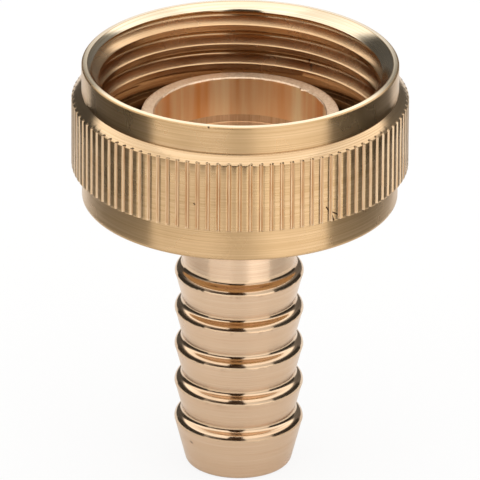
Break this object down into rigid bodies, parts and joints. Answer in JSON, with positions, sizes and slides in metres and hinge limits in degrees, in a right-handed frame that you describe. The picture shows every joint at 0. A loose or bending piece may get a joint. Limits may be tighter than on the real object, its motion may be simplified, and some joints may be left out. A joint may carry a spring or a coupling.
{
  "type": "hose union",
  "caption": "Knurled brass union nut that spins on a barbed hose tail, for joining a hose to a threaded pipe end.",
  "frame": {"origin": "centre of the tail's lower end", "axes": "+Z along the waterway, from the barbed end to the mouth of the nut; the part is round about Z, and one knurl groove lies on +X"},
  "size_m": [0.0368, 0.0368, 0.0477],
  "materials": {
    "turned_brass": "turned, with fine tool rings and a straight knurl",
    "red_brass": "turned, bright on the barbs and brushed in the bore"
  },
  "bodies": {
    "tail": {"hose_tail": "red_brass"},
    "nut": {"union_nut": "turned_brass"}
  },
  "joints": [
    {"name": "nut_spin", "type": "hinge", "parent": "tail", "child": "nut", "pos_m": [0, 0, 0.0334], "axis": [0, 0, 1], "continuous": true}
  ]
}
